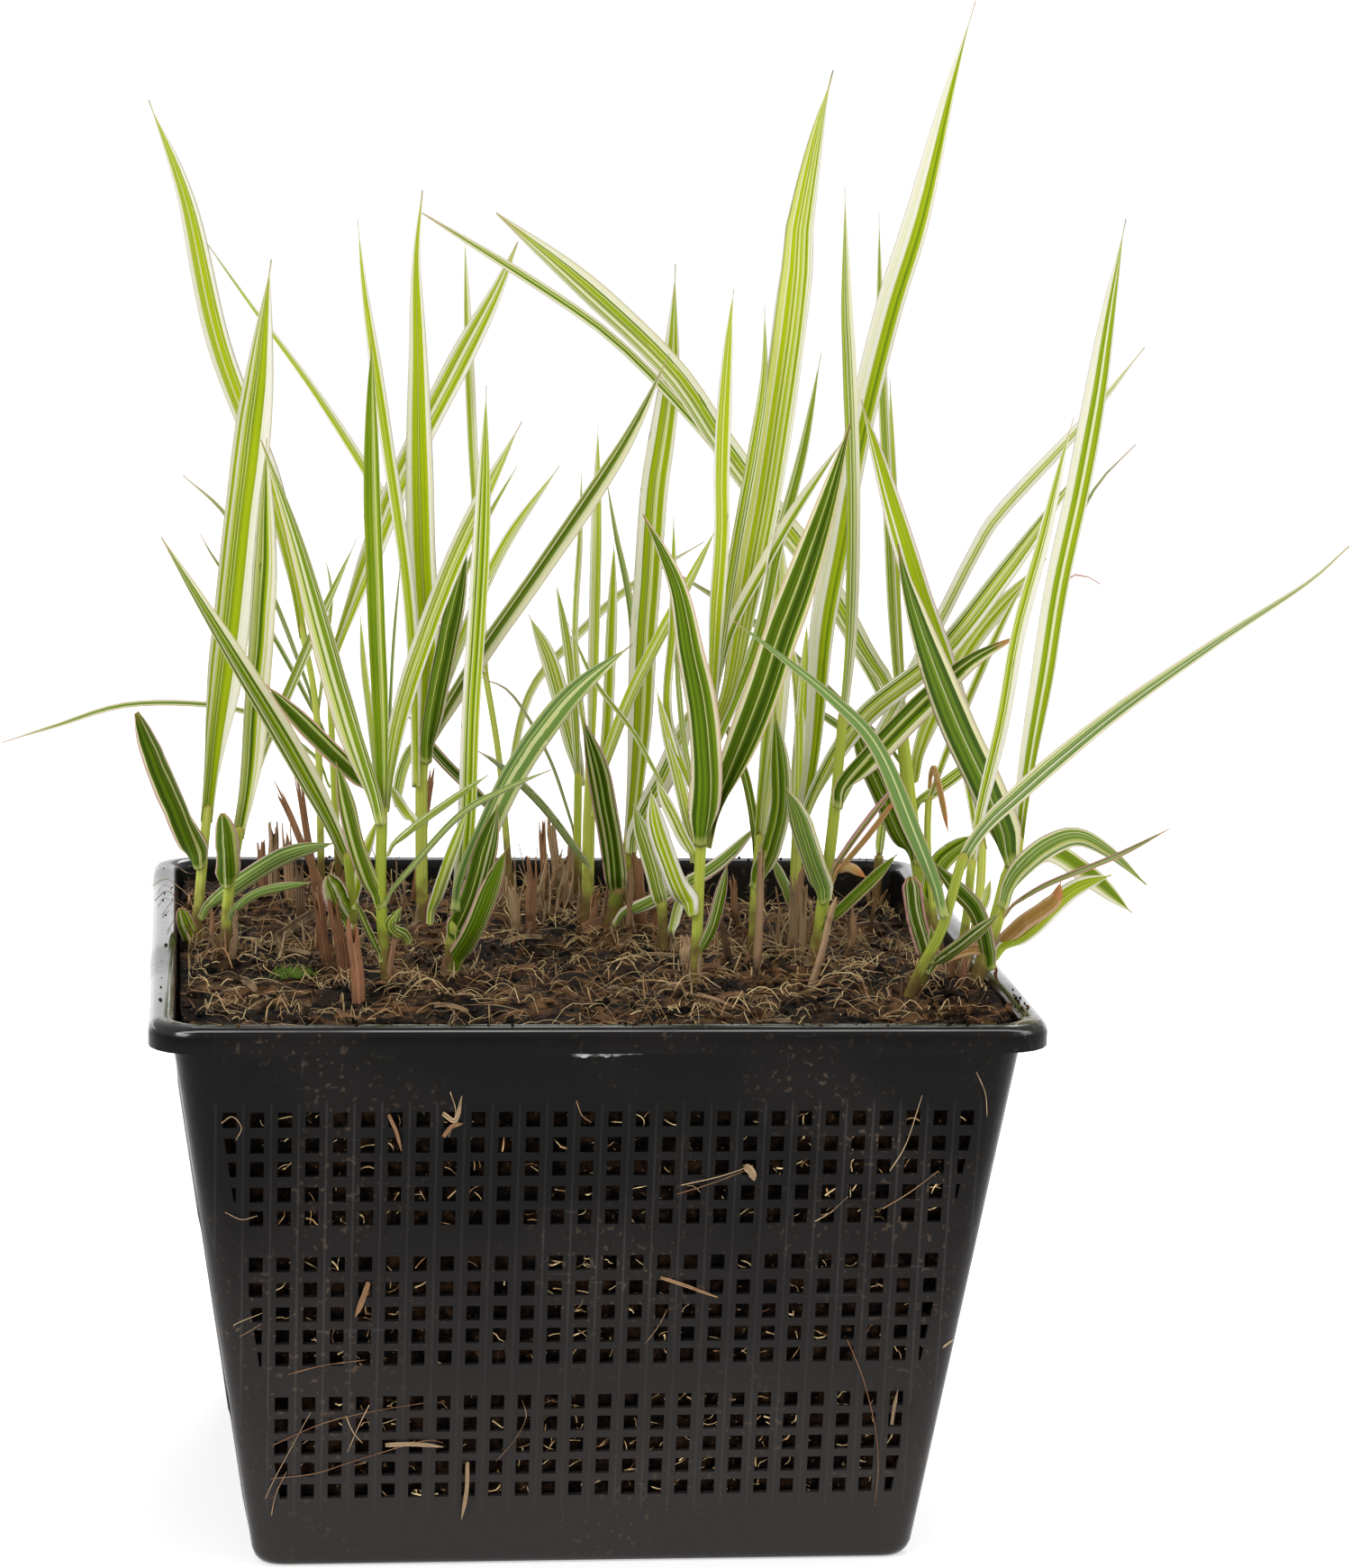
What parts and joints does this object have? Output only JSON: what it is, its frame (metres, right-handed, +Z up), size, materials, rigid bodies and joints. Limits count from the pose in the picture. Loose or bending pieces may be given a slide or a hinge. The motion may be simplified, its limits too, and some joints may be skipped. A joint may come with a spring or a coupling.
{
  "type": "potted ribbon grass",
  "caption": "Ribbon grass with long green leaves striped cream, growing in a square black perforated planting basket filled with soil.",
  "frame": {"origin": "centre of the basket's underside, on the surface it stands on", "axes": "+Z up; -Y toward the basket side that faces the viewer in the picture; +X to the viewer's right"},
  "size_m": [0.2905, 0.1981, 0.3377],
  "materials": {
    "black_plastic": "satin black with fine scratches and dried soil",
    "soil": "dark crumbly potting soil with tan roots and straw",
    "striped_leaf": "satin leaf with lengthwise green, yellow-green and cream stripes",
    "culm": "satin pale green culm, darker and brown at the soil"
  },
  "bodies": {
    "root": {"basket": "black_plastic", "leaf_arching_broad": "striped_leaf", "leaf_arching_narrow": "striped_leaf", "leaf_centre_blue": "striped_leaf", "leaf_centre_leaning": "striped_leaf", "leaf_centre_striped": "striped_leaf", "leaf_centre_upright": "striped_leaf", "leaf_centre_white": "striped_leaf", "leaf_corner_blue": "striped_leaf", "leaf_corner_bright": "striped_leaf", "leaf_corner_broad": "striped_leaf", "leaf_edge_bent": "striped_leaf", "leaf_edge_broad": "striped_leaf", "leaf_edge_drooping": "striped_leaf", "leaf_front_broad": "striped_leaf", "leaf_front_dark": "striped_leaf", "leaf_front_low": "striped_leaf", "leaf_front_tall": "striped_leaf", "leaf_left_blunt": "striped_leaf", "leaf_left_dark": "striped_leaf", "leaf_left_drooping": "striped_leaf", "leaf_left_inner": "striped_leaf", "leaf_left_leaning": "striped_leaf", "leaf_left_long": "striped_leaf", "leaf_left_narrow": "striped_leaf", "leaf_left_short": "striped_leaf", "leaf_left_twisted": "striped_leaf", "leaf_mid_curved": "striped_leaf", "leaf_right_dark": "striped_leaf", "leaf_right_long": "striped_leaf", "leaf_right_low": "striped_leaf", "leaf_right_pale": "striped_leaf", "leaf_right_upright": "striped_leaf", "shoot_centre_back": "culm", "shoot_centre_dark": "culm", "shoot_centre_left": "culm", "shoot_centre_pale": "culm", "shoot_centre_short": "culm", "shoot_centre_tall": "culm", "shoot_corner": "culm", "shoot_corner_back": "culm", "shoot_corner_cut": "culm", "shoot_edge": "culm", "shoot_edge_back": "culm", "shoot_edge_front": "culm", "shoot_edge_pale": "culm", "shoot_front": "culm", "shoot_left_back": "culm", "shoot_left_back_inner": "culm", "shoot_left_culm": "culm", "shoot_left_edge": "culm", "shoot_left_front": "culm", "shoot_left_rear": "culm", "shoot_left_second": "culm", "shoot_left_thick": "culm", "shoot_right_culm": "culm", "shoot_right_mid": "culm", "shoot_right_rear": "culm", "shoot_tallest": "culm", "soil": "soil"}
  },
  "joints": []
}
